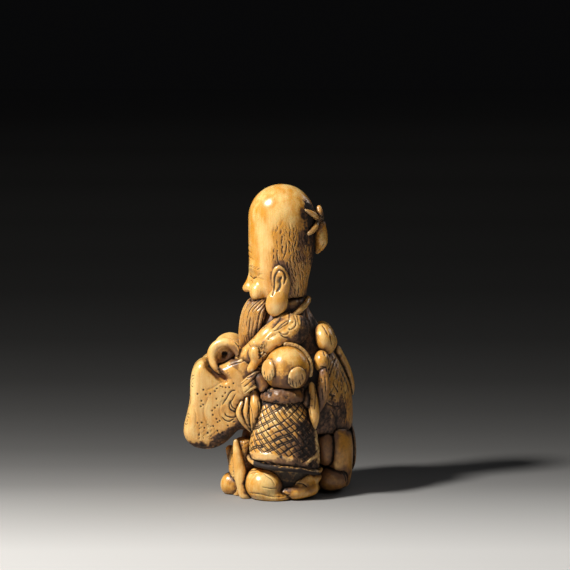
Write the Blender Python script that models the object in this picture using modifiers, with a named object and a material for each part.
"""Ivory netsuke: a bearded old man with a tall domed head, and a boy in a netted robe at his sleeve.

Sizes below are millimetres. +X is the old man's left, where the boy is, +Y his back and +Z up.
Every carved form is its own solid. Soft forms are merged from balls, limbs and skins, and each
form is then cut by the ones laid down before it, which leaves the narrow carved seam between them.
"""

import math

import bmesh
import bpy
from mathutils import Euler, Matrix, Vector

MM = 0.001

# Seams, surface finish and the floor plane
SEAM = 0.3
GRAIN = 0.4
FACE_SHARE = 0.75
GROUND = 0.0

# Old man's head: a tall dome over a narrower jaw
HEAD_TOP = 64.7
JAW_Z = 38.6
HEAD_LENGTH = 13.8
HEAD_WIDTH = 12.2
HEAD_Y = -0.7
NOSE_LENGTH = 3.4
EAR_HEIGHT = 11.2
EAR_WIDTH = 4.5
EAR_THICKNESS = 1.5
BEARD_LENGTH = 11.2
BEARD_WIDTH = 9.8
BEARD_LOCKS = 13

# Ribbon tied at the back of the head
RIBBON_Z = 57.2
RIBBON_CORD = 1.1
FLAP_LENGTH = 9.4
FLAP_WIDTH = 5.2

# Robe: shoulders to hem, with the skirt under it
NECK_Z = 41.0
HEM_Z = 12.8
ROBE_X = -1.5
ROBE_WIDTH = 19.6
ROBE_DEPTH = 22.0
# Rings of the robe: share of the rise, of ROBE_X, then shares of half the depth, width and depth
ROBE_RINGS = (
    (0.00, 1.00, 0.29, 0.95, 0.99),
    (0.15, 1.00, 0.30, 1.00, 1.00),
    (0.33, 1.00, 0.26, 1.00, 0.99),
    (0.50, 0.95, 0.17, 0.95, 0.90),
    (0.65, 0.80, 0.05, 0.88, 0.78),
    (0.79, 0.50, 0.00, 0.76, 0.64),
    (0.91, 0.20, -0.02, 0.57, 0.47),
    (1.00, 0.00, 0.03, 0.45, 0.36),
)
SKIRT_Y = -1.2
SKIRT_WIDTH = 18.0
SKIRT_DEPTH = 18.6
CORD_HOLE_WIDE = 4.6
CORD_HOLE_NARROW = 3.2

# Sleeves
SLEEVE_TOP = 28.2
SLEEVE_DROP = 18.8
SLEEVE_BACK = -3.8
SLEEVE_LENGTH = 17.0
SLEEVE_THICKNESS = 8.4
CUFF_RADIUS = 2.8
CUFF_LIP = 1.05
# The hanging sleeve from the side: share of the length from its front, share of the drop from its top
SLEEVE_OUTLINE = (
    (0.18, 0.00),
    (0.30, 0.02),
    (0.41, 0.06),
    (0.54, 0.04),
    (0.74, -0.04),
    (0.93, -0.10),
    (1.00, 0.06),
    (0.97, 0.27),
    (0.91, 0.50),
    (0.84, 0.72),
    (0.70, 0.72),
    (0.54, 0.84),
    (0.36, 0.95),
    (0.18, 0.97),
    (0.04, 0.90),
    (0.03, 0.77),
    (0.05, 0.62),
    (0.06, 0.44),
    (0.08, 0.25),
    (0.11, 0.10),
)

# Sash bow at the back
BOW_Z = 32.4
BOW_LOOP = 3.3
TAIL_WIDTH = 2.6

# Boy
BOY_SUNK = 0.5
BOY_Y = -0.1
BOY_HEM_Z = 7.0
BOY_HEM_SLOPE = -0.16
BOY_NECK_Z = 22.2
BOY_WIDTH = 14.8
BOY_DEPTH = 11.4
BOY_HEAD = 4.7
BOY_HEAD_Z = 27.0
TUFT = 2.1
BOY_FOOT_HEIGHT = 7.0

# Shoes
SHOE_LENGTH = 6.2
SHOE_HEIGHT = 4.8
SHOE_LIFT = 1.2

IVORY = (0.80, 0.56, 0.27, 1.0)
STAINED_IVORY = (0.42, 0.24, 0.11, 1.0)


def clear_scene():
    for old in list(bpy.data.objects):
        bpy.data.objects.remove(old, do_unlink=True)


def make_collection(name):
    made = bpy.data.collections.new(name)
    bpy.context.scene.collection.children.link(made)
    return made


def make_material(name, colour, roughness):
    material = bpy.data.materials.new(name)
    material.use_nodes = True
    shader = material.node_tree.nodes["Principled BSDF"]
    shader.inputs["Base Color"].default_value = colour
    shader.inputs["Roughness"].default_value = roughness
    shader.inputs["Metallic"].default_value = 0.0
    return material


def mesh_object(name, bm):
    mesh = bpy.data.meshes.new(name)
    bm.to_mesh(mesh)
    bm.free()
    made = bpy.data.objects.new(name, mesh)
    bpy.context.scene.collection.objects.link(made)
    return made


def settled(obj):
    """The object's mesh as its modifiers leave it, on the same object."""
    graph = bpy.context.evaluated_depsgraph_get()
    mesh = bpy.data.meshes.new_from_object(obj.evaluated_get(graph))
    if obj.type == "MESH":
        obj.modifiers.clear()
        obj.data = mesh
        return obj
    made = bpy.data.objects.new(obj.name, mesh)
    bpy.context.scene.collection.objects.link(made)
    made.matrix_world = obj.matrix_world
    bpy.data.objects.remove(obj)
    return made


def ball(centre, radii, turn=(0.0, 0.0, 0.0)):
    """An ellipsoid. turn is in degrees about X, Y and Z."""
    bm = bmesh.new()
    bmesh.ops.create_icosphere(bm, subdivisions=4, radius=MM)
    spin = Euler([math.radians(angle) for angle in turn]).to_matrix().to_4x4()
    place = Matrix.Translation(Vector(centre) * MM)
    bmesh.ops.transform(bm, matrix=place @ spin @ Matrix.Diagonal((*radii, 1.0)), verts=bm.verts)
    return mesh_object("ball", bm)


def box(low, high):
    bm = bmesh.new()
    low, high = Vector(low), Vector(high)
    bmesh.ops.create_cube(bm, size=MM)
    place = Matrix.Translation((low + high) / 2 * MM)
    bmesh.ops.transform(bm, matrix=place @ Matrix.Diagonal((*(high - low), 1.0)), verts=bm.verts)
    return mesh_object("box", bm)


def limb(points, flatten=None):
    """A round tapering tube through points of (x, y, z, radius). flatten is (axis, share) and
    thins the tube along that axis about its own middle."""
    curve = bpy.data.curves.new("limb", "CURVE")
    curve.dimensions = "3D"
    curve.bevel_depth = MM
    curve.bevel_resolution = 5
    curve.resolution_u = 8
    curve.use_fill_caps = True
    spline = curve.splines.new("BEZIER")
    spline.bezier_points.add(len(points) - 1)
    for knot, (x, y, z, radius) in zip(spline.bezier_points, points):
        knot.co = Vector((x, y, z)) * MM
        knot.radius = radius
        knot.handle_left_type = knot.handle_right_type = "AUTO"
    made = bpy.data.objects.new("limb", curve)
    bpy.context.scene.collection.objects.link(made)
    made = settled(made)
    bm = bmesh.new()
    bm.from_mesh(made.data)
    bmesh.ops.remove_doubles(bm, verts=bm.verts, dist=0.001 * MM)
    bmesh.ops.recalc_face_normals(bm, faces=bm.faces)
    bm.to_mesh(made.data)
    bm.free()
    ends = [ball(points[0][:3], (points[0][3],) * 3), ball(points[-1][:3], (points[-1][3],) * 3)]
    made = joined("limb", [made, *ends])
    if flatten:
        axis, share = flatten
        middle = sum(point[axis] for point in points) / len(points) * MM
        for vertex in made.data.vertices:
            vertex.co[axis] = middle + (vertex.co[axis] - middle) * share
    return made


def between(keys, share):
    """Catmull-Rom value along a list of equal-length tuples, share running from 0 to 1."""
    spot = share * (len(keys) - 1)
    first = min(int(spot), len(keys) - 2)
    t = spot - first
    p0 = keys[max(first - 1, 0)]
    p1 = keys[first]
    p2 = keys[first + 1]
    p3 = keys[min(first + 2, len(keys) - 1)]
    return [
        0.5 * (2 * b + (c - a) * t + (2 * a - 5 * b + 4 * c - d) * t**2 + (3 * b - a - 3 * c + d) * t**3)
        for a, b, c, d in zip(p0, p1, p2, p3)
    ]


def skin(keys, squareness=2.0, sides=40, steps=24, tilt=0.0):
    """A closed skin over rings of (z, x, y, half width, half depth), smoothed from ring to ring.
    squareness 2 gives ellipses, and more gives fuller corners. tilt slopes the lowest ring along Y."""
    bm = bmesh.new()
    rings = []
    for step in range(steps + 1):
        z, x, y, half_x, half_y = between(keys, step / steps)
        slope = tilt * (1 - step / steps)
        ring = []
        for side in range(sides):
            angle = 2 * math.pi * side / sides
            c, s = math.cos(angle), math.sin(angle)
            across = math.copysign(abs(c) ** (2 / squareness), c) * half_x
            along = math.copysign(abs(s) ** (2 / squareness), s) * half_y
            ring.append(bm.verts.new(Vector((x + across, y + along, z + slope * along)) * MM))
        rings.append(ring)
    for low, high in zip(rings, rings[1:]):
        for side in range(sides):
            after = (side + 1) % sides
            bm.faces.new((low[side], low[after], high[after], high[side]))
    bm.faces.new(list(reversed(rings[0])))
    bm.faces.new(rings[-1])
    return mesh_object("skin", bm)


def slab(outline, low_x, high_x, rounding):
    """A flat outline of (y, z) points, smoothed into a closed curve, thick along X with round edges."""
    curve = bpy.data.curves.new("slab", "CURVE")
    curve.dimensions = "2D"
    curve.fill_mode = "BOTH"
    curve.extrude = ((high_x - low_x) / 2 - rounding) * MM
    curve.bevel_depth = rounding * MM
    curve.bevel_resolution = 4
    curve.resolution_u = 6
    spline = curve.splines.new("BEZIER")
    spline.bezier_points.add(len(outline) - 1)
    spline.use_cyclic_u = True
    middle_y = sum(point[0] for point in outline) / len(outline)
    middle_z = sum(point[1] for point in outline) / len(outline)
    for knot, (y, z) in zip(spline.bezier_points, outline):
        out = Vector((y - middle_y, z - middle_z))
        inset = out.normalized() * rounding
        knot.co = Vector((y - inset.x, z - inset.y, 0.0)) * MM
        knot.handle_left_type = knot.handle_right_type = "AUTO"
    made = bpy.data.objects.new("slab", curve)
    bpy.context.scene.collection.objects.link(made)
    # The curve's own X and Y become the carving's Y and Z.
    upright = Matrix(((0, 0, 1, 0), (1, 0, 0, 0), (0, 1, 0, 0), (0, 0, 0, 1)))
    made.matrix_world = Matrix.Translation(((low_x + high_x) / 2 * MM, 0, 0)) @ upright
    made = settled(made)
    made.data.transform(made.matrix_world)
    made.matrix_world = Matrix.Identity(4)
    bm = bmesh.new()
    bm.from_mesh(made.data)
    bmesh.ops.remove_doubles(bm, verts=bm.verts, dist=0.001 * MM)
    bmesh.ops.recalc_face_normals(bm, faces=bm.faces)
    bm.to_mesh(made.data)
    bm.free()
    return made


def ring(centre, radius, thickness, turn):
    """A torus, for a rolled lip."""
    bpy.ops.mesh.primitive_torus_add(
        major_segments=48,
        minor_segments=16,
        major_radius=radius * MM,
        minor_radius=thickness * MM,
        location=Vector(centre) * MM,
        rotation=[math.radians(angle) for angle in turn],
    )
    made = bpy.context.object
    made.data.transform(made.matrix_world)
    made.matrix_world = Matrix.Identity(4)
    return made


def joined(name, shapes):
    """One mesh object that holds all these shapes, still overlapping."""
    bm = bmesh.new()
    for shape in shapes:
        bm.from_mesh(shape.data)
        bpy.data.objects.remove(shape)
    return mesh_object(name, bm)


def volume(mesh):
    bm = bmesh.new()
    bm.from_mesh(mesh)
    filled = bm.calc_volume(signed=True)
    bm.free()
    return filled


def difference(obj, cutter, solver):
    modifier = obj.modifiers.new("cut", "BOOLEAN")
    modifier.operation = "DIFFERENCE"
    modifier.solver = solver
    modifier.object = cutter
    return settled(obj)


def cut(obj, cutter):
    """The form less the cutter. Where the exact solver crosses the form and yet takes nothing off,
    or loses nearly all of it, the manifold one cuts it instead."""
    whole = obj.data.copy()
    obj = difference(obj, cutter, "EXACT")
    crossed = len(obj.data.polygons) != len(whole.polygons)
    left = volume(obj.data) / volume(whole)
    if crossed and not 0.05 < left < 0.9999:
        obj.data = whole
        obj = difference(obj, cutter, "MANIFOLD")
    return obj


def soften(obj, grain, passes):
    """Voxel remesh, then smooth, so that overlapping shapes become one soft closed form."""
    remesh = obj.modifiers.new("merge", "REMESH")
    remesh.mode = "VOXEL"
    remesh.voxel_size = grain * MM
    smooth = obj.modifiers.new("smooth", "SMOOTH")
    smooth.factor = 0.5
    smooth.iterations = passes
    return settled(obj)


def form(name, shapes, faces, hollows=(), grain=GRAIN, passes=5):
    """A soft form merged from shapes, less the hollows, thinned to about this many faces."""
    made = soften(joined(name, shapes), grain, 1 if hollows else passes)
    for hollow in hollows:
        made = cut(made, hollow)
        bpy.data.objects.remove(hollow)
    if hollows:
        made = soften(made, grain, passes)
    made = thinned(made, faces * 1.5)
    made.name = name
    made["faces"] = faces * FACE_SHARE
    return made


def thinned(obj, faces):
    """The same form with no more than about this many triangles."""
    triangles = max(1, sum(len(polygon.vertices) - 2 for polygon in obj.data.polygons))
    thin = obj.modifiers.new("thin", "DECIMATE")
    thin.ratio = min(1.0, faces / triangles)
    return settled(obj)


def largest_body(obj):
    """Drops the loose chips that a cut can leave, as a carver brushes them off."""
    bm = bmesh.new()
    bm.from_mesh(obj.data)
    bmesh.ops.remove_doubles(bm, verts=bm.verts, dist=0.004 * MM)
    bmesh.ops.triangulate(bm, faces=bm.faces)
    bodies, seen = [], set()
    for start in bm.faces:
        if start in seen:
            continue
        body, waiting = [], [start]
        seen.add(start)
        while waiting:
            face = waiting.pop()
            body.append(face)
            for edge in face.edges:
                for other in edge.link_faces:
                    if other not in seen:
                        seen.add(other)
                        waiting.append(other)
        bodies.append(body)
    bodies.sort(key=len)
    for chip in bodies[:-1]:
        bmesh.ops.delete(bm, geom=chip, context="FACES")
    bm.to_mesh(obj.data)
    bm.free()


def bounds(obj):
    corners = [vertex.co for vertex in obj.data.vertices]
    low = Vector([min(corner[axis] for corner in corners) for axis in range(3)])
    high = Vector([max(corner[axis] for corner in corners) for axis in range(3)])
    return low, high


def meet(first, second, margin):
    (low_a, high_a), (low_b, high_b) = first, second
    return all(low_a[k] < high_b[k] + margin and low_b[k] < high_a[k] + margin for k in range(3))


def grown(obj, distance):
    """A copy whose surface stands out by this distance, to cut a neighbour with."""
    copy = bpy.data.objects.new(obj.name + "_cutter", obj.data.copy())
    bpy.context.scene.collection.objects.link(copy)
    swell = copy.modifiers.new("swell", "DISPLACE")
    swell.strength = distance * MM
    swell.mid_level = 0.0
    return settled(copy)


def old_mans_head():
    half_length = HEAD_LENGTH / 2
    half_width = HEAD_WIDTH / 2
    crown = HEAD_TOP - half_length
    tall = crown - JAW_Z
    front = HEAD_Y - half_length
    dome = ball((0, HEAD_Y, crown), (half_width, half_length, half_length))
    skull = skin(
        [
            (JAW_Z - 1.6, 0, HEAD_Y + 0.4, half_width * 0.55, half_length * 0.58),
            (JAW_Z + tall * 0.12, 0, HEAD_Y - 0.3, half_width * 0.76, half_length * 0.76),
            (JAW_Z + tall * 0.35, 0, HEAD_Y - 0.4, half_width * 0.92, half_length * 0.88),
            (JAW_Z + tall * 0.62, 0, HEAD_Y - 0.1, half_width, half_length * 0.98),
            (crown, 0, HEAD_Y, half_width, half_length),
        ]
    )
    eye_z = JAW_Z + NOSE_LENGTH * 2.05
    nose_z = eye_z - NOSE_LENGTH * 0.78
    face = front + 0.5
    shapes = [dome, skull]
    shapes.append(
        limb(
            [
                (0, face + 0.15, eye_z + 0.9, 0.6),
                (0, face - 0.5, nose_z + 1.0, 0.75),
                (0, face - 0.95, nose_z, 0.95),
            ]
        )
    )
    for side in (-1, 1):
        shapes.append(ball((side * 0.95, face - 0.2, nose_z - 0.1), (0.7, 0.75, 0.6)))
        shapes.append(
            limb(
                [
                    (side * 0.7, face + 0.05, eye_z + 1.5, 0.6),
                    (side * 2.4, face + 0.35, eye_z + 2.2, 0.7),
                    (side * 4.3, face + 1.9, eye_z + 1.4, 0.5),
                ]
            )
        )
        shapes.append(ball((side * 2.9, face + 1.5, nose_z - 0.5), (1.9, 1.8, 2.1)))
    shapes.append(limb([(-1.3, face + 1.0, nose_z - 2.6, 0.55), (1.3, face + 1.0, nose_z - 2.6, 0.55)]))
    shapes.append(limb([(-1.0, face + 1.1, nose_z - 3.6, 0.6), (1.0, face + 1.1, nose_z - 3.6, 0.6)]))
    sockets = [
        ball((side * 2.3, face - 0.35, eye_z), (1.35, 0.9, 0.75), (0, 0, side * 25)) for side in (-1, 1)
    ]
    return form("old_man_head", shapes, 1500, sockets, grain=0.3, passes=3)


def ear(name, side):
    """A long ear: a cupped upper part over a heavy lobe, let into the side of the head."""
    x = side * (HEAD_WIDTH / 2 - 0.4)
    low = JAW_Z - EAR_HEIGHT * 0.09
    upper_z = low + EAR_HEIGHT * 0.66
    lobe_z = low + EAR_HEIGHT * 0.26
    upper_size = (EAR_THICKNESS, EAR_WIDTH * 0.42, EAR_HEIGHT * 0.34)
    lobe_size = (EAR_THICKNESS, EAR_WIDTH / 2, EAR_HEIGHT * 0.27)
    upper = ball((x, HEAD_Y - 0.2, upper_z), upper_size, (8, 0, 0))
    lobe = ball((x + side * 0.3, HEAD_Y - 1.0, lobe_z), lobe_size, (-16, 0, 0))
    rim = x + side * (EAR_THICKNESS + 0.1)
    cup = ball((rim, HEAD_Y - 0.8, upper_z), (0.9, EAR_WIDTH * 0.2, EAR_HEIGHT * 0.17))
    return form(name, [upper, lobe], 400, [cup], grain=0.25, passes=3)


def beard():
    """A long beard of tapering locks that hang side by side, from one ear round the jaw to the other."""
    jaw = HEAD_Y - HEAD_LENGTH * 0.32
    half = BEARD_WIDTH / 2
    top = JAW_Z + 1.8
    keys = [
        (top + 0.9, 0, jaw + 0.6, half * 0.72, 1.4),
        (top, 0, jaw, half, 2.4),
        (top - BEARD_LENGTH * 0.26, 0, jaw - 0.3, half * 1.02, 2.7),
        (top - BEARD_LENGTH * 0.52, 0, jaw - 1.1, half * 0.92, 2.7),
        (top - BEARD_LENGTH * 0.78, 0, jaw - 2.1, half * 0.68, 2.3),
        (top - BEARD_LENGTH, 0, jaw - 2.7, half * 0.32, 1.3),
    ]
    locks = [skin(keys, sides=24)]
    for lock in range(BEARD_LOCKS):
        angle = math.radians(-104 + 208 * lock / (BEARD_LOCKS - 1))
        points = []
        tip = 0.97 - 0.12 * abs(math.sin(angle))
        for fall, radius in ((0.0, 0.55), (0.3, 0.8), (0.62, 0.78), (tip, 0.34)):
            z, x, y, half_x, half_y = between(keys, fall)
            sway = 0.22 * math.sin(5 * fall + 2 * lock)
            points.append((x + half_x * math.sin(angle) + sway, y - half_y * math.cos(angle), z, radius))
        locks.append(limb(points))
    return form("beard", locks, 1000, grain=0.3, passes=2)


def moustache(name, side):
    front = HEAD_Y - HEAD_LENGTH / 2 + 1.0
    lip = JAW_Z + NOSE_LENGTH * 0.72
    return form(
        name,
        [
            limb(
                [
                    (side * 0.75, front + 0.1, lip, 0.55),
                    (side * 2.3, front + 0.4, lip - 0.9, 0.75),
                    (side * 3.4, front + 0.9, lip - 3.0, 0.65),
                    (side * 3.7, front + 1.1, lip - 5.4, 0.3),
                ]
            )
        ],
        170,
        grain=0.22,
        passes=2,
    )


def ribbon():
    """The ribbon tied round the back of the tall head: knot, hanging flap and four cords."""
    back = HEAD_Y + HEAD_LENGTH / 2
    knot_y = back + 0.5
    made = [
        form("ribbon_knot", [ball((0, knot_y, RIBBON_Z), (1.7, 1.2, 1.2))], 160, grain=0.25),
        form(
            "ribbon_flap",
            [
                limb(
                    [
                        (0, knot_y + 0.4, RIBBON_Z + FLAP_LENGTH * 0.24, FLAP_WIDTH * 0.18),
                        (0, knot_y + 0.9, RIBBON_Z - FLAP_LENGTH * 0.2, FLAP_WIDTH * 0.38),
                        (0, knot_y + 0.9, RIBBON_Z - FLAP_LENGTH * 0.45, FLAP_WIDTH * 0.46),
                        (0, knot_y - 0.4, RIBBON_Z - FLAP_LENGTH * 0.70, FLAP_WIDTH * 0.14),
                    ],
                    flatten=(1, 0.62),
                )
            ],
            300,
            grain=0.3,
        ),
    ]
    for side_name, side in (("left", 1), ("right", -1)):
        for level_name, rise in (("upper", 2.3), ("lower", -3.0)):
            x = side * HEAD_WIDTH * 0.36
            cord = limb(
                [
                    (x, HEAD_Y + HEAD_LENGTH * 0.27, RIBBON_Z + rise * 1.15, RIBBON_CORD * 0.50),
                    (x * 0.7, back - 0.2, RIBBON_Z + rise * 0.55, RIBBON_CORD * 0.56),
                    (side * 1.2, knot_y, RIBBON_Z + rise * 0.1, RIBBON_CORD * 0.46),
                ]
            )
            made.append(form(f"ribbon_cord_{level_name}_{side_name}", [cord], 140, grain=0.22, passes=3))
    return made


def robe_keys():
    """The robe's rings from hem to collar, as (z, x, y, half width, half depth)."""
    half_x = ROBE_WIDTH / 2
    half_y = ROBE_DEPTH / 2
    tall = NECK_Z - HEM_Z
    return [
        (HEM_Z + tall * rise, ROBE_X * lean, half_y * back, half_x * wide, half_y * deep)
        for rise, lean, back, wide, deep in ROBE_RINGS
    ]


def on_robe(z, degrees, out=0.0):
    """A point this far outside the robe. degrees run from the middle of his back round to his left."""
    keys = robe_keys()
    for low, high in zip(keys, keys[1:]):
        if z <= high[0]:
            break
    share = (z - low[0]) / (high[0] - low[0])
    _, x, y, half_x, half_y = (a + (b - a) * share for a, b in zip(low, high))
    angle = math.radians(degrees)
    return Vector((x + (half_x + out) * math.sin(angle), y + (half_y + out) * math.cos(angle), z))


def robe():
    """The robe from collar to hem, bored from the far side for the hanging cord."""
    return form("robe", [skin(robe_keys(), squareness=2.15)], 1250)


def neckband():
    """The turned edge of the robe, from under the beard round the back of the neck."""
    points = []
    for step in range(9):
        turn = -132 + 33 * step
        fall = 8.4 * abs(turn / 132) ** 1.7
        points.append((*on_robe(NECK_Z - 0.5 - fall, turn, 0.2), 0.85 - 0.1 * abs(turn / 132)))
    return form("neckband", [limb(points)], 460, grain=0.3, passes=3)


def cord_channel():
    """The bent channel that the hanging cord passes through, wide where its knot hides."""
    low_z = HEM_Z + 4.4
    high_z = low_z + 8.2
    wide = CORD_HOLE_WIDE / 2
    narrow = CORD_HOLE_NARROW / 2
    stations = (
        (low_z, 2.0, wide),
        (low_z + 0.8, -2.2, wide),
        ((low_z + high_z) / 2, -4.0, (wide + narrow) / 2),
        (high_z - 0.8, -2.4, narrow),
        (high_z, 2.0, narrow),
    )
    return limb([(*on_robe(z, -82, out), radius) for z, out, radius in stations])


def skirt():
    half_x = SKIRT_WIDTH / 2
    half_y = SKIRT_DEPTH / 2
    body = skin(
        [
            (GROUND - 1.5, ROBE_X, SKIRT_Y, half_x * 0.95, half_y * 0.96),
            (HEM_Z * 0.3, ROBE_X, SKIRT_Y, half_x, half_y),
            (HEM_Z * 0.7, ROBE_X, SKIRT_Y + 0.4, half_x * 0.95, half_y * 0.96),
            (HEM_Z + 2.5, ROBE_X, SKIRT_Y + 1.4, half_x * 0.90, half_y * 0.90),
        ],
        squareness=2.2,
    )
    return form("underskirt", [body], 520)


def lower_back():
    """What shows behind, under the hem: the trouser leg, the long rear drape and the panel's edge."""
    back = on_robe(HEM_Z, 0).y
    side = ROBE_X + SKIRT_WIDTH / 2
    leg = skin(
        [
            (HEM_Z * 0.49, side - 4.0, back - 5.6, 2.8, 1.3),
            (HEM_Z * 0.62, side - 3.8, back - 5.6, 3.9, 2.0),
            (HEM_Z * 0.85, side - 3.8, back - 5.7, 4.2, 2.3),
            (HEM_Z + 1.6, side - 4.2, back - 5.9, 3.6, 2.2),
        ]
    )
    drape = skin(
        [
            (HEM_Z * 0.08, ROBE_X + 1.3, back - 3.0, 5.4, 2.4),
            (HEM_Z * 0.3, ROBE_X + 1.5, back - 2.9, 6.2, 2.9),
            (HEM_Z * 0.7, ROBE_X + 1.7, back - 3.2, 7.0, 3.5),
            (HEM_Z + 1.4, ROBE_X + 1.3, back - 4.1, 6.6, 3.6),
        ]
    )
    panel = skin(
        [
            (HEM_Z * 0.28, ROBE_X - 2.5, back - 0.4, 4.6, 0.7),
            (HEM_Z * 0.5, ROBE_X - 2.3, back - 0.5, 6.4, 1.5),
            (HEM_Z * 0.85, ROBE_X - 2.1, back - 1.0, 7.2, 1.8),
            (HEM_Z + 2.4, ROBE_X - 1.9, back - 2.2, 6.8, 1.8),
        ]
    )
    return [
        form("rear_trouser", [leg], 320),
        form("rear_drape", [drape], 420),
        form("rear_panel", [panel], 320),
    ]


def shoe(name, x, y, toe, lift=0.0):
    """A plain rounded shoe. toe is -1 where it points forwards and 1 backwards."""
    heel = ball((x, y, SHOE_HEIGHT * 0.42 + lift), (2.7, SHOE_LENGTH * 0.44, SHOE_HEIGHT * 0.52))
    tip = ball(
        (x, y + toe * SHOE_LENGTH * 0.26, SHOE_HEIGHT * 0.46 + lift),
        (2.2, SHOE_LENGTH * 0.30, SHOE_HEIGHT * 0.50),
        (toe * 16, 0, 0),
    )
    return form(name, [heel, tip], 300, grain=0.35)


def front_hem():
    """The open front edge of the underskirt: a light turned edge, a dark panel and a small ruffle."""
    front = SKIRT_Y - SKIRT_DEPTH / 2
    side = ROBE_X + SKIRT_WIDTH / 2
    edge = limb(
        [
            (side - 0.9, front + 0.2, HEM_Z * 0.92, 0.5),
            (side + 0.2, front + 0.7, HEM_Z * 0.62, 1.05),
            (side + 1.0, front + 1.5, HEM_Z * 0.32, 1.45),
            (side + 1.4, front + 2.4, GROUND + 0.5, 1.35),
        ]
    )
    panel = skin(
        [
            (GROUND - 1.0, side - 2.7, front + 2.0, 2.7, 2.6),
            (HEM_Z * 0.3, side - 3.0, front + 1.7, 2.9, 2.9),
            (HEM_Z * 0.65, side - 3.2, front + 1.6, 2.8, 2.7),
            (HEM_Z * 0.92, side - 3.2, front + 2.2, 2.2, 1.9),
        ]
    )
    ruffle = [
        ball(
            (side - 5.6 + 0.55 * step, front - 1.0 + 0.25 * step, HEM_Z * (0.70 - 0.10 * step)),
            (1.3, 1.0, 0.85),
        )
        for step in range(4)
    ]
    return [
        form("skirt_front_edge", [edge], 280, grain=0.3),
        form("skirt_front_band", [panel], 340, grain=0.3),
        form("skirt_ruffle", ruffle, 240, grain=0.28, passes=2),
    ]


def sleeve(side_name, side, reach):
    """One arm in its wide sleeve: upper arm, hanging bag, rolled cuff. side is 1 for the left.
    reach is how much of the left sleeve's size this one has."""
    middle = ROBE_X * 0.4
    outer = middle + side * SLEEVE_THICKNESS * reach
    low_x, high_x = sorted((middle, outer))
    long = SLEEVE_LENGTH * reach
    front = SLEEVE_BACK - long
    drop = SLEEVE_DROP * reach
    shoulder_z = NECK_Z - 7.0
    arm = limb(
        [
            (middle + side * ROBE_WIDTH * 0.26, 0.9, shoulder_z + 0.4, 4.4 * reach),
            (middle + side * ROBE_WIDTH * 0.34, -2.2, shoulder_z - 1.8, 4.0 * reach),
            (middle + side * SLEEVE_THICKNESS * 0.75, SLEEVE_BACK - 1.6, SLEEVE_TOP + 1.8, 3.2 * reach),
            (middle + side * SLEEVE_THICKNESS * 0.65, SLEEVE_BACK - 4.6, SLEEVE_TOP + 0.4, 2.1 * reach),
        ]
    )
    outline = [(front + long * along, SLEEVE_TOP - drop * fall) for along, fall in SLEEVE_OUTLINE]
    bag = slab(outline, low_x, high_x, 2.0)
    mouth_x = outer - side * 2.4
    mouth_y = front + long * 0.49
    mouth_z = SLEEVE_TOP + 1.05
    radius = CUFF_RADIUS * reach
    slit = [
        (mouth_y - radius * 1.50, mouth_z - radius * 0.45),
        (mouth_y - radius * 0.90, mouth_z - radius * 1.40),
        (mouth_y + radius * 0.05, mouth_z - radius * 1.95),
        (mouth_y + radius * 0.22, mouth_z - radius * 1.75),
        (mouth_y - radius * 0.30, mouth_z - radius * 1.25),
        (mouth_y - radius * 0.60, mouth_z - radius * 0.60),
        (mouth_y - radius * 0.80, mouth_z),
    ]
    slit_x = sorted((outer - side * 2.6, outer + side * 2.0))
    opening = slab(slit, *slit_x, 0.3)
    lip = ring((mouth_x, mouth_y, mouth_z), radius, CUFF_LIP, (0, 80 * side, -10 * side))
    floor_x = mouth_x - side * 1.9
    lining = ball((floor_x, mouth_y, mouth_z), (1.3, radius * 1.05, radius * 1.05))
    pocket = ball((mouth_x + side * 0.9, mouth_y + 0.2, mouth_z - 0.4), (1.8, radius * 0.78, radius * 0.82))
    eye = ball((floor_x + side * 0.9, mouth_y - 0.3, mouth_z - 0.1), (1.3, 0.62, 0.52))
    return [
        form(f"{side_name}_arm", [arm], 460),
        form(f"{side_name}_sleeve", [bag], 760, [opening], grain=0.35),
        form(f"{side_name}_cuff", [lip, lining], 520, [pocket, eye], grain=0.25, passes=3),
    ]


def pleats():
    """Three hanging folds of the left sleeve, drawn together at their lower ends beside the boy."""
    outer = ROBE_X * 0.4 + SLEEVE_THICKNESS
    tip_y = SLEEVE_BACK - SLEEVE_LENGTH * 0.18
    tip_z = SLEEVE_TOP - SLEEVE_DROP * 0.78
    made = []
    for name, spread, length, radius, lift in (
        ("sleeve_fold_front", -2.6, 6.4, 0.72, 0.0),
        ("sleeve_fold_middle", -1.2, 7.2, 0.75, 0.3),
        ("sleeve_fold_rear", 0.8, 8.2, 1.35, 0.7),
    ):
        drop = limb(
            [
                (outer + lift * 0.4, tip_y + spread * 0.75, tip_z + length, radius * 0.62),
                (outer + 0.5 + lift, tip_y + spread, tip_z + length * 0.66, radius),
                (outer + 0.4 + lift, tip_y + spread * 0.62, tip_z + length * 0.33, radius * 0.78),
                (outer + 0.2, tip_y, tip_z, radius * 0.3),
            ]
        )
        made.append(form(name, [drop], 190, grain=0.25, passes=3))
    return made


def left_hand():
    """The old man's hand, which reaches out of the sleeve to the boy's head."""
    palm = Vector((ROBE_X * 0.4 + SLEEVE_THICKNESS + 0.5, SLEEVE_BACK - 1.9, SLEEVE_TOP + 1.9))
    shapes = [
        ball(palm, (1.5, 1.8, 2.1), (25, 0, 0)),
        limb(
            [
                (palm.x, palm.y - 0.2, palm.z - 1.2, 0.9),
                (palm.x + 0.3, palm.y - 1.3, palm.z - 3.2, 0.85),
            ]
        ),
    ]
    for finger in range(4):
        reach = finger * 0.68
        shapes.append(
            limb(
                [
                    (palm.x + 0.6, palm.y + 0.5, palm.z + 1.6 - reach, 0.6),
                    (palm.x + 1.1, palm.y + 1.7, palm.z + 2.2 - reach, 0.56),
                    (palm.x + 0.9, palm.y + 2.7, palm.z + 2.3 - reach, 0.42),
                ]
            )
        )
    return form("left_hand", shapes, 340, grain=0.22, passes=2)


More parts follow.
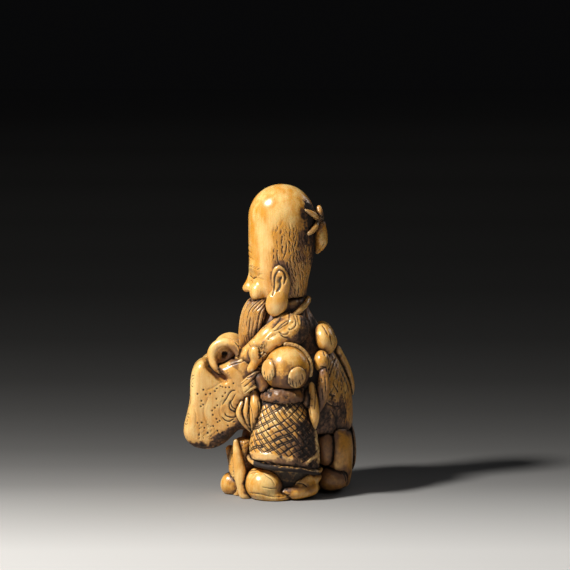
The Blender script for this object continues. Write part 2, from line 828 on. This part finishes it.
def sash_bow():
    """The bow of the sash, laid on the robe's back, with its tails hanging over the boy's side."""
    half = TAIL_WIDTH / 2
    upper_spot = on_robe(BOW_Z, 27, 0.6)
    lower_spot = on_robe(BOW_Z - BOW_LOOP * 1.27, 53, 0.6)
    upper = ball(upper_spot, (BOW_LOOP * 1.1, BOW_LOOP * 0.74, BOW_LOOP * 1.02), (12, 0, 0))
    upper_slit = limb(
        [(*(upper_spot + Vector((1.2, 1.0, 3.6))), 0.32), (*(upper_spot + Vector((2.2, 2.3, 0.6))), 0.26)]
    )
    lower = ball(lower_spot, (BOW_LOOP * 0.76, BOW_LOOP * 0.52, BOW_LOOP * 0.72))
    lower_slit = limb(
        [(*(lower_spot + Vector((1.7, 0.6, 2.4))), 0.26), (*(lower_spot + Vector((2.4, 1.1, 0.3))), 0.22)]
    )
    far = ball(on_robe(BOW_Z - 0.4, -27, 0.4), (BOW_LOOP * 1.1, BOW_LOOP * 0.72, BOW_LOOP), (12, 0, 0))
    knot = ball(on_robe(BOW_Z - 1.0, 1, 0.5), (BOW_LOOP * 0.5, BOW_LOOP * 0.45, BOW_LOOP * 0.62))
    tails = {
        "bow_far_tail": (
            1,
            ((2.6, -2, 0.5, 0.7), (7.0, -7, 0.5, 1.0), (11.0, -11, 0.5, 0.9), (13.4, -10, 0.4, 0.3)),
        ),
        "bow_long_tail": (
            0,
            ((5.6, 59, 1.9, 0.72), (8.6, 64, 2.0, 1.0), (12.0, 69, 1.6, 0.82), (14.8, 73, 1.0, 0.25)),
        ),
        "bow_short_tail": (
            0,
            ((8.6, 75, 1.0, 0.5), (12.0, 78, 2.1, 0.95), (15.2, 78, 2.5, 0.8), (17.8, 77, 2.3, 0.25)),
        ),
    }
    made = [
        form("bow_upper_loop", [upper], 360, [upper_slit], grain=0.25, passes=3),
        form("bow_lower_loop", [lower], 260, [lower_slit], grain=0.25, passes=3),
        form("bow_knot", [knot], 140, grain=0.3),
        form("bow_far_loop", [far], 240, grain=0.3),
    ]
    for name, (thin_axis, stations) in tails.items():
        points = [(*on_robe(BOW_Z - fall, turn, out), half * width) for fall, turn, out, width in stations]
        made.append(form(name, [limb(points, flatten=(thin_axis, 0.78))], 200, grain=0.28, passes=3))
    return made


def boy_middle():
    """Where the boy's robe is centred, against the old man's side."""
    return ROBE_X + ROBE_WIDTH / 2 - BOY_SUNK


def boy():
    """The boy from hem to head, with his two tufts, the band behind his head, arms and hand."""
    x = boy_middle()
    half_y = BOY_WIDTH / 2
    half_x = BOY_DEPTH / 2
    tall = BOY_NECK_Z - BOY_HEM_Z
    robe_skin = skin(
        [
            (BOY_HEM_Z, x, BOY_Y, half_x * 0.97, half_y * 0.97),
            (BOY_HEM_Z + tall * 0.25, x, BOY_Y - 0.1, half_x, half_y * 0.96),
            (BOY_HEM_Z + tall * 0.55, x, BOY_Y - 0.1, half_x * 0.99, half_y * 0.85),
            (BOY_HEM_Z + tall * 0.80, x, BOY_Y - 0.3, half_x * 0.86, half_y * 0.65),
            (BOY_NECK_Z + 1.0, x - 0.2, BOY_Y - 0.5, half_x * 0.66, half_y * 0.48),
        ],
        squareness=2.2,
        tilt=BOY_HEM_SLOPE,
    )
    shins = skin(
        [
            (GROUND + 0.8, x, BOY_Y + 0.6, half_x * 0.52, half_y * 0.78),
            (BOY_HEM_Z * 0.5, x, BOY_Y + 0.4, half_x * 0.55, half_y * 0.80),
            (BOY_HEM_Z + 1.5, x, BOY_Y, half_x * 0.60, half_y * 0.84),
        ]
    )
    hem_points = []
    for step in range(15):
        angle = math.radians(-126 + step * 18)
        along = math.sin(angle) * half_y * 0.97
        wave = 0.22 * math.sin(3.2 * angle + 0.6)
        height = BOY_HEM_Z + BOY_HEM_SLOPE * along + wave
        hem_points.append((x + math.cos(angle) * half_x, BOY_Y + along, height, 0.62))
    collar = skin(
        [
            (BOY_NECK_Z - 1.9, x + 0.2, BOY_Y - 0.3, half_x * 0.86, half_y * 0.66),
            (BOY_NECK_Z - 0.4, x + 0.4, BOY_Y - 0.3, half_x * 0.86, half_y * 0.62),
            (BOY_NECK_Z + 1.2, x + 0.4, BOY_Y, half_x * 0.66, half_y * 0.50),
        ]
    )
    head_centre = Vector((x + 1.3, BOY_Y + 0.5, BOY_HEAD_Z))
    head = ball(head_centre, (BOY_HEAD, BOY_HEAD, BOY_HEAD * 1.04))
    front_way = Vector((0.60, -0.80, 0.06)).normalized()
    rear_way = Vector((0.86, 0.42, -0.22)).normalized()
    tufts = []
    for name, way in (("boy_tuft_front", front_way), ("boy_tuft_rear", rear_way)):
        spot = head_centre + way * (BOY_HEAD - 0.15)
        turn = way.to_track_quat("X", "Z").to_euler()
        degrees = [math.degrees(angle) for angle in turn]
        tufts.append(form(name, [ball(spot, (1.0, TUFT, TUFT * 1.12), degrees)], 190, grain=0.22, passes=2))
    band_radius = BOY_HEAD + 0.15
    band_points = []
    for step in range(7):
        angle = math.radians(94 - step * 18)
        across = band_radius * math.cos(angle)
        rise = band_radius * 1.04 * math.sin(angle)
        spot = head_centre + Vector((0.1, across, rise))
        band_points.append((*spot, 0.62 - 0.02 * step))
    shoulder = (x + 1.4, BOY_Y - half_y * 0.45, BOY_NECK_Z - 0.2, 1.5)
    elbow = (x + 1.2, BOY_Y - half_y * 0.60, BOY_NECK_Z + 1.8, 1.2)
    wrist = Vector((x + 1.1, BOY_Y - half_y * 0.70, BOY_NECK_Z + 3.0))
    hand = [ball(wrist, (0.9, 1.1, 1.3))]
    for finger in range(4):
        root = wrist + Vector((0.1, -0.4 + 0.22 * finger, 1.0 - 0.74 * finger))
        knuckle = root + Vector((0.4, -1.5, -0.7))
        tip = root + Vector((-0.3, -3.3, -2.1))
        hand.append(limb([(*root, 0.44), (*knuckle, 0.42), (*tip, 0.30)]))
    far_shoulder = (x + 1.2, BOY_Y + half_y * 0.56, BOY_NECK_Z - 1.6, 1.8)
    far_wrist = (x - 1.0, BOY_Y + half_y * 0.76, BOY_NECK_Z + 0.4, 1.3)
    return [
        form("boy_robe", [robe_skin, shins], 940),
        form("boy_robe_hem", [limb(hem_points)], 520, grain=0.25, passes=3),
        form("boy_collar", [collar], 300),
        form("boy_head", [head], 520, grain=0.3),
        *tufts,
        form("boy_hair_band", [limb(band_points)], 240, grain=0.22, passes=2),
        form("boy_near_arm", [limb([shoulder, elbow, (*wrist, 1.0)])], 220, grain=0.3),
        form("boy_near_hand", hand, 440, grain=0.18, passes=1),
        form("boy_far_arm", [limb([far_shoulder, far_wrist])], 160, grain=0.3),
    ]


def boy_feet():
    """The boy's two feet under the hem: the near one a full rounded heel, the far one a low wedge."""
    x = boy_middle()
    tall = BOY_FOOT_HEIGHT
    near = [
        ball((x + 0.7, BOY_Y - 3.9, tall * 0.42), (4.8, 4.4, tall * 0.55), (-4, 0, 0)),
        ball((x + 2.6, BOY_Y - 2.2, tall * 0.10), (2.6, 3.8, tall * 0.14)),
    ]
    far = [
        limb(
            [
                (x + 3.2, BOY_Y - 0.4, tall * 0.20, 1.15),
                (x + 3.2, BOY_Y + 2.7, tall * 0.24, 1.45),
                (x + 1.7, BOY_Y + 5.5, tall * 0.32, 1.6),
            ]
        ),
        limb(
            [
                (x + 2.8, BOY_Y + 2.7, tall * 0.50, 0.85),
                (x + 1.8, BOY_Y + 4.7, tall * 0.60, 1.35),
                (x + 0.6, BOY_Y + 6.3, tall * 0.64, 1.4),
            ]
        ),
    ]
    return [
        form("boy_near_foot", near, 460, grain=0.3),
        form("boy_far_foot", far, 420, grain=0.3),
    ]


def main():
    clear_scene()
    carving = make_collection("ivory_netsuke")
    plain = make_material("ivory", IVORY, 0.32)
    stained = make_material("stained_ivory", STAINED_IVORY, 0.5)

    # Laid down from the core outwards: a later form is cut by every earlier one that it meets.
    forms = [robe(), old_mans_head(), moustache("left_moustache", 1), moustache("right_moustache", -1)]
    forms += [beard(), neckband(), *pleats(), *boy()]
    forms += sleeve("left", 1, 1.0)
    forms += sleeve("right", -1, 0.92)
    forms += [left_hand(), ear("left_ear", 1), ear("right_ear", -1)]
    forms += ribbon()
    forms += sash_bow()
    forms += boy_feet()
    shoe_side = ROBE_X + SKIRT_WIDTH / 2
    forms.append(shoe("rear_shoe", shoe_side - 2.9, on_robe(HEM_Z, 0).y - 4.6, 1, SHOE_LIFT))
    forms.append(shoe("front_shoe", shoe_side - 3.4, SKIRT_Y - SKIRT_DEPTH / 2 + 0.5, -1))
    forms += lower_back()
    forms += [skirt()]
    forms += front_hem()

    boxes = [bounds(piece) for piece in forms]
    cutters = [grown(piece, SEAM) for piece in forms]
    channel = form("cord_channel", [cord_channel()], 500)
    floor = box((-HEAD_TOP, -HEAD_TOP, GROUND - HEAD_TOP), (HEAD_TOP, HEAD_TOP, GROUND))

    for index, piece in enumerate(forms):
        for earlier in range(index):
            if meet(boxes[index], boxes[earlier], SEAM * MM):
                piece = cut(piece, cutters[earlier])
        if piece.name == "robe":
            piece = cut(piece, channel)
        if boxes[index][0].z < GROUND * MM + 0.0001:
            piece = cut(piece, floor)
        largest_body(piece)
        thinned(piece, piece["faces"])
        largest_body(piece)

    for helper in [*cutters, channel, floor]:
        bpy.data.objects.remove(helper)

    # The carving stands on the origin, in the middle of its own footprint.
    lows, highs = zip(*[bounds(piece) for piece in forms])
    middle_x = (min(low.x for low in lows) + max(high.x for high in highs)) / 2
    middle_y = (min(low.y for low in lows) + max(high.y for high in highs)) / 2
    stand = bpy.data.objects.new("netsuke", None)
    carving.objects.link(stand)
    stand.location = (-middle_x, -middle_y, 0.0)

    recessed = ("skirt_front_band", "underskirt", "beard", "boy_collar")
    for piece in forms:
        low, high = bounds(piece)
        centre = (low + high) / 2
        piece.data.transform(Matrix.Translation(-centre))
        piece.location = centre
        piece.parent = stand
        piece.data.materials.clear()
        piece.data.materials.append(stained if piece.name in recessed else plain)
        piece.data.shade_smooth()
        piece.data.set_sharp_from_angle(angle=math.radians(50))
        bpy.context.scene.collection.objects.unlink(piece)
        carving.objects.link(piece)


main()
